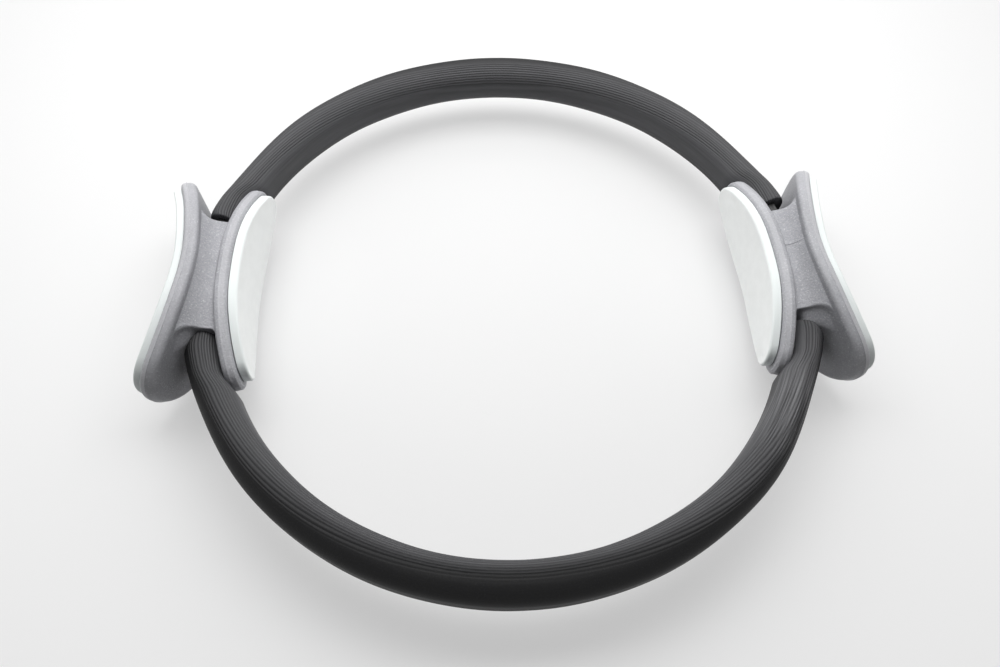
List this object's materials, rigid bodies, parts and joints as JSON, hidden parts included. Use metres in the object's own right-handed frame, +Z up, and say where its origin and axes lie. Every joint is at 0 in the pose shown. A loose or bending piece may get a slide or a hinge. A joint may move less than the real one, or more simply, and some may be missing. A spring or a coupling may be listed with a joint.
{
  "type": "pilates ring",
  "caption": "Flexible exercise ring: winged handles with foam pads face each other, joined by flat spring bands in ribbed foam sleeves; squeezed or pushed apart for resistance.",
  "frame": {"origin": "on the floor under the ring's centre, with the ring lying on its outer wings", "axes": "+Z up along the ring's axis, +X towards the right handle, +Y towards the rear crown"},
  "size_m": [0.3898, 0.3568, 0.066],
  "materials": {
    "handle_plastic": "fine spark-eroded mould texture",
    "pad_foam": "smooth EVA foam skin",
    "sleeve_foam": "ribbed closed-cell foam",
    "band_laminate": "black glass-fibre laminate",
    "fastener_steel": "zinc plated"
  },
  "bodies": {
    "left_handle": {"left_handle_body": "handle_plastic", "left_outer_pad": "pad_foam", "left_inner_pad": "pad_foam", "left_screws": "fastener_steel", "left_nuts": "fastener_steel"},
    "rear_half": {"rear_sleeve": "sleeve_foam", "rear_outer_band": "band_laminate", "rear_inner_band": "band_laminate"},
    "right_handle": {"right_handle_body": "handle_plastic", "right_outer_pad": "pad_foam", "right_inner_pad": "pad_foam", "right_screws": "fastener_steel", "right_nuts": "fastener_steel"},
    "front_half": {"front_sleeve": "sleeve_foam"},
    "front_bands": {"front_outer_band": "band_laminate", "front_inner_band": "band_laminate"}
  },
  "joints": [
    {"name": "squeeze", "type": "slide", "parent": "left_handle", "child": "rear_half", "axis": [-0.7359, 0.6771, 0], "range_m": [-0.02, 0.054], "stiffness_N_per_m": 2700, "deforming": ["rear_sleeve", "rear_outer_band", "rear_inner_band"]},
    {"name": "right_squeeze", "type": "slide", "parent": "rear_half", "child": "right_handle", "axis": [-0.7359, -0.6771, 0], "range_m": [-0.02, 0.054]},
    {"name": "front_squeeze", "type": "slide", "parent": "left_handle", "child": "front_half", "axis": [-0.7359, -0.6771, 0], "range_m": [-0.02, 0.054], "deforming": ["front_sleeve"]},
    {"name": "front_band_squeeze", "type": "slide", "parent": "right_handle", "child": "front_bands", "axis": [0.7359, -0.6771, 0], "range_m": [-0.02, 0.054], "deforming": ["front_outer_band", "front_inner_band"]}
  ],
  "couplings": [
    {"joint": "right_squeeze", "follows": "squeeze", "ratio": 1},
    {"joint": "front_squeeze", "follows": "squeeze", "ratio": 1},
    {"joint": "front_band_squeeze", "follows": "squeeze", "ratio": 1}
  ]
}
